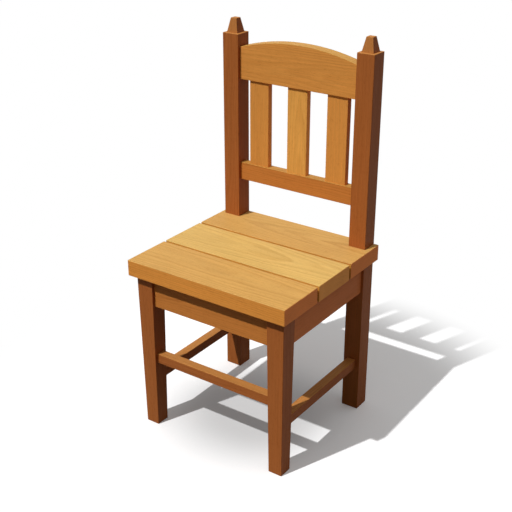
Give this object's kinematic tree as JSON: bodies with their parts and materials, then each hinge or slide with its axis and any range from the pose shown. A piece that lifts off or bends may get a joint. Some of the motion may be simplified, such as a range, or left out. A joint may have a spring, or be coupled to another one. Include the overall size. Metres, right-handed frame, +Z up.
{
  "type": "plain wooden chair",
  "caption": "Plain wooden side chair with a board seat, tapered front legs, stretchers, and a slatted back between straight posts with small pyramid finials.",
  "frame": {"origin": "on the floor, at the middle of the chair's width and depth", "axes": "+Z up, +X to the sitter's left, which is the right side seen from the front, and the front of the seat faces -Y"},
  "size_m": [0.44, 0.413, 0.953],
  "materials": {
    "leg_wood": "satin oiled, reddish brown",
    "rail_wood": "satin oiled, mid brown",
    "board_wood": "satin oiled, golden",
    "pale_board_wood": "satin oiled, pale golden",
    "slat_wood": "satin oiled, warm brown",
    "pale_slat_wood": "satin oiled, light warm brown",
    "block_wood": "sawn, unfinished",
    "screw_steel": "zinc plated"
  },
  "bodies": {
    "root": {"front_left_leg": "leg_wood", "front_right_leg": "leg_wood", "rear_left_post": "leg_wood", "rear_right_post": "leg_wood", "left_finial": "leg_wood", "right_finial": "leg_wood", "front_apron": "rail_wood", "rear_apron": "rail_wood", "left_apron": "rail_wood", "right_apron": "rail_wood", "front_stretcher": "leg_wood", "left_stretcher": "leg_wood", "right_stretcher": "leg_wood", "front_seat_board": "board_wood", "middle_seat_board": "pale_board_wood", "rear_seat_board": "board_wood", "lower_back_rail": "rail_wood", "crest_rail": "slat_wood", "left_slat": "slat_wood", "middle_slat": "pale_slat_wood", "right_slat": "slat_wood", "front_left_block": "block_wood", "front_right_block": "block_wood", "rear_left_block": "block_wood", "rear_right_block": "block_wood", "left_cleat": "block_wood", "right_cleat": "block_wood", "seat_screws": "screw_steel", "cleat_screws": "screw_steel", "corner_screws": "screw_steel"}
  },
  "joints": []
}
